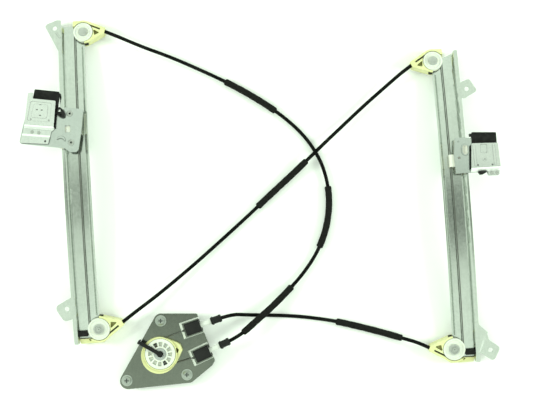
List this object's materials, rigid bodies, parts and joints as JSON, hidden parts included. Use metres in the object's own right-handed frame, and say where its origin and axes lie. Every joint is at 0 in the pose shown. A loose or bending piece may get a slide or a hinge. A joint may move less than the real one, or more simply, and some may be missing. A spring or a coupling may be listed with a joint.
{
  "type": "window regulator",
  "caption": "Dual rail cable window regulator for a car door, lying flat: two curved rails with sliding glass clamps, cable drum plate, pulleys and sleeved conduits.",
  "frame": {"origin": "bottom centre of the box, conduits left out", "axes": "+X towards the right rail, +Y towards the top of the door along the picture's upright, +Z from the floor towards the carriers' faces"},
  "size_m": [0.7064, 0.549, 0.046],
  "materials": {
    "zinc_steel": "zinc plated, satin",
    "carrier_steel": "zinc plated, satin",
    "jaw_steel": "zinc plated, satin",
    "plate_steel": "zinc plated, dull",
    "rivet_steel": "zinc plated, satin",
    "screw_steel": "zinc plated, satin",
    "cable_steel": "galvanised wire",
    "nipple_zinc": "cast",
    "nylon": "natural, slightly yellow",
    "white_acetal": "natural white",
    "slider_acetal": "natural white",
    "tube_plastic": "light grey",
    "hub_plastic": "grey",
    "black_plastic": "black",
    "black_rubber": "black",
    "conduit_jacket": "black",
    "sleeve_foam": "black foam"
  },
  "bodies": {
    "frame": {"left_rail": "zinc_steel", "left_top_housing": "nylon", "left_top_rivet": "rivet_steel", "left_bottom_housing": "nylon", "left_bottom_rivet": "rivet_steel", "left_bumpers": "black_rubber", "left_lower_stop": "black_rubber", "left_inner_cable": "cable_steel", "right_rail": "zinc_steel", "right_top_housing": "nylon", "right_top_rivet": "rivet_steel", "right_bottom_housing": "nylon", "right_bottom_rivet": "rivet_steel", "right_bumpers": "black_rubber", "right_lower_stop": "black_rubber", "right_inner_cable": "cable_steel", "motor_plate": "plate_steel", "drum_housing": "nylon", "motor_screws": "screw_steel", "transport_tie": "black_plastic", "drum_inner_cables": "cable_steel", "upper_adjuster_body": "black_plastic", "upper_adjuster_spring": "cable_steel", "lower_adjuster_body": "black_plastic", "lower_adjuster_spring": "cable_steel", "long_conduit": "conduit_jacket", "long_sleeves": "sleeve_foam", "cross_conduit": "conduit_jacket", "cross_sleeves": "sleeve_foam", "short_conduit": "conduit_jacket", "short_sleeves": "sleeve_foam"},
    "left_carrier": {"left_carrier_plate": "carrier_steel", "left_slider": "slider_acetal", "left_carrier_rivets": "rivet_steel", "left_clamp_jaw": "jaw_steel", "left_clamp_liner": "black_rubber", "left_clamp_rivets": "rivet_steel", "left_cable_nipples": "nipple_zinc", "left_hook_clip": "black_plastic"},
    "left_top_wheel": {"left_top_pulley": "white_acetal"},
    "left_bottom_wheel": {"left_bottom_pulley": "white_acetal"},
    "right_carrier": {"right_carrier_plate": "carrier_steel", "right_slider": "slider_acetal", "right_clamp_jaw": "jaw_steel", "right_clamp_liner": "black_rubber", "right_clamp_rivets": "rivet_steel", "right_cable_nipples": "nipple_zinc", "right_hook_clip": "black_plastic"},
    "right_top_wheel": {"right_top_pulley": "white_acetal"},
    "right_bottom_wheel": {"right_bottom_pulley": "white_acetal"},
    "drum": {"cable_drum": "white_acetal", "drum_hub": "hub_plastic", "drum_cable": "cable_steel"},
    "upper_adjuster": {"upper_adjuster_tube": "tube_plastic", "upper_adjuster_cap": "black_plastic"},
    "lower_adjuster": {"lower_adjuster_tube": "tube_plastic", "lower_adjuster_cap": "black_plastic"}
  },
  "joints": [
    {"name": "left_carrier_travel", "type": "hinge", "parent": "frame", "child": "left_carrier", "pos_m": [-0.2648, 0.0354, -1.57788], "axis": [0.9979, 0.064, 0], "range_deg": [-2.72, 8.38]},
    {"name": "right_carrier_travel", "type": "hinge", "parent": "frame", "child": "right_carrier", "pos_m": [0.2864, 0.0007, -1.57892], "axis": [0.9979, 0.064, 0], "range_deg": [-2.74, 8.4]},
    {"name": "left_top_pulley_spin", "type": "hinge", "parent": "frame", "child": "left_top_wheel", "pos_m": [-0.26499, 0.25712, 0.01391], "axis": [-0.0088, 0.1374, 0.9905], "range_deg": [-325, 999]},
    {"name": "left_bottom_pulley_spin", "type": "hinge", "parent": "frame", "child": "left_bottom_wheel", "pos_m": [-0.23666, -0.18453, 0.01391], "axis": [0.0088, -0.1374, 0.9905], "range_deg": [-305, 937]},
    {"name": "right_top_pulley_spin", "type": "hinge", "parent": "frame", "child": "right_top_wheel", "pos_m": [0.25871, 0.21367, 0.01383], "axis": [-0.0085, 0.1331, 0.9911], "range_deg": [-999, 325]},
    {"name": "right_bottom_pulley_spin", "type": "hinge", "parent": "frame", "child": "right_bottom_wheel", "pos_m": [0.28615, -0.21407, 0.01383], "axis": [0.0085, -0.1331, 0.9911], "range_deg": [-937, 305]},
    {"name": "drum_spin", "type": "hinge", "parent": "frame", "child": "drum", "pos_m": [-0.1451, -0.2204, 0.021], "axis": [0, 0, 1], "range_deg": [-226, 692]},
    {"name": "upper_adjuster_slide", "type": "slide", "parent": "frame", "child": "upper_adjuster", "axis": [0.9455, 0.3256, 0], "range_m": [-0.003, 0], "stiffness_N_per_m": 2000, "springref_m": 0.004, "deforming": ["upper_adjuster_spring"]},
    {"name": "lower_adjuster_slide", "type": "slide", "parent": "frame", "child": "lower_adjuster", "axis": [0.9063, 0.4226, 0], "range_m": [-0.003, 0], "stiffness_N_per_m": 2000, "springref_m": 0.004, "deforming": ["lower_adjuster_spring"]}
  ],
  "couplings": [
    {"joint": "right_carrier_travel", "follows": "left_carrier_travel", "ratio": 1},
    {"joint": "left_top_pulley_spin", "follows": "left_carrier_travel", "ratio": 119.04},
    {"joint": "left_bottom_pulley_spin", "follows": "left_carrier_travel", "ratio": 111.6},
    {"joint": "right_top_pulley_spin", "follows": "left_carrier_travel", "ratio": -119.04},
    {"joint": "right_bottom_pulley_spin", "follows": "left_carrier_travel", "ratio": -111.6},
    {"joint": "drum_spin", "follows": "left_carrier_travel", "ratio": 82.415}
  ]
}
